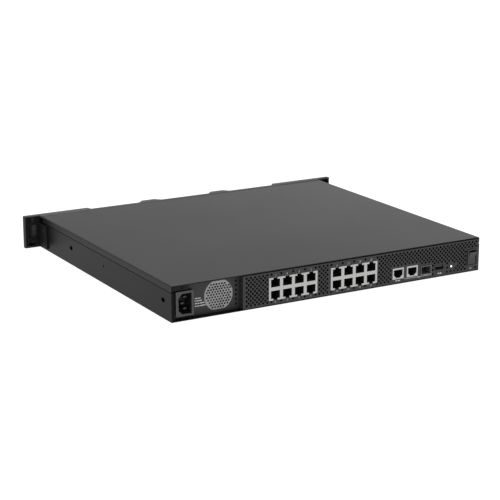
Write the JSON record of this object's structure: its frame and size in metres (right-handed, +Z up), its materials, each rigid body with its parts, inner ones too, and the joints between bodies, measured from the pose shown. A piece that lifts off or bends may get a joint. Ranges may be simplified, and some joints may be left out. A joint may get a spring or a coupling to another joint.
{
  "type": "rack network appliance",
  "caption": "One-unit rack network appliance in dark sheet steel with stacked sockets, a mains inlet in a recessed bay, a fan and a power rocker.",
  "frame": {"origin": "centre of the chassis underside", "axes": "+Z up, front bezel towards -Y, port side towards +Y, mains inlet near +X"},
  "size_m": [0.4826, 0.3974, 0.0436],
  "materials": {
    "dark_steel": "charcoal powder coat, fine texture",
    "black_screw": "black zinc, satin",
    "bezel_plastic": "dark moulded plastic, fine grain",
    "zinc_steel": "bare zinc-plated sheet",
    "circuit_board": "solder-masked laminate",
    "winding": "taped winding and ferrite",
    "blue_sleeve": "shrink sleeve",
    "bare_aluminium": "extruded, satin",
    "black_plastic": "moulded, satin",
    "white_plastic": "moulded, satin",
    "nickel": "satin nickel plate",
    "gold": "gold flash",
    "brass": "turned",
    "wire_brown": "insulation, three colours",
    "wire_red": "insulation, red and black",
    "clear_lens": "diffusing lens",
    "chip": "moulded package"
  },
  "bodies": {
    "chassis": {"base_tray": "dark_steel", "top_cover": "dark_steel", "rear_io_panel": "dark_steel", "power_bay_panel": "dark_steel", "cover_screw": "black_screw", "front_bezel": "bezel_plastic", "bezel_grilles": "black_screw", "rack_ear_left": "dark_steel", "rack_ear_right": "dark_steel", "ear_screws": "black_screw", "psu_case": "zinc_steel", "psu_lid": "zinc_steel", "psu_board": "circuit_board", "psu_transformer": "winding", "psu_capacitors": "blue_sleeve", "psu_heatsink": "bare_aluminium", "inlet_bracket": "zinc_steel", "inlet_socket": "black_plastic", "inlet_pins": "nickel", "mains_wires": "wire_brown", "fan_frame": "black_plastic", "fan_screws": "nickel", "dc_harness": "wire_red", "dc_connector": "white_plastic", "main_board": "circuit_board", "board_standoffs": "brass", "board_screws": "nickel", "port_shield_1": "nickel", "port_bodies_1": "black_plastic", "port_contacts_1": "gold", "port_shield_2": "nickel", "port_bodies_2": "black_plastic", "port_contacts_2": "gold", "lan_shields": "nickel", "lan_bodies": "black_plastic", "lan_contacts": "gold", "sfp_cage": "nickel", "sfp_connector": "black_plastic", "usb_shell": "nickel", "usb_tongue": "black_plastic", "status_led": "clear_lens", "switch_housing": "black_plastic", "processor": "chip", "heatsink": "bare_aluminium", "memory_chips": "chip", "phy_chips": "chip", "board_capacitors": "blue_sleeve"},
    "fan": {"fan_rotor": "black_plastic"},
    "power_rocker": {"switch_rocker": "black_plastic"}
  },
  "joints": [
    {"name": "fan_spin", "type": "hinge", "parent": "chassis", "child": "fan", "pos_m": [0.1543, 0.166, 0.022], "axis": [0, 1, 0], "continuous": true},
    {"name": "rocker_tilt", "type": "hinge", "parent": "chassis", "child": "power_rocker", "pos_m": [-0.2092, 0.1834, 0.0186], "axis": [1, 0, 0], "range_deg": [0, 14]}
  ]
}
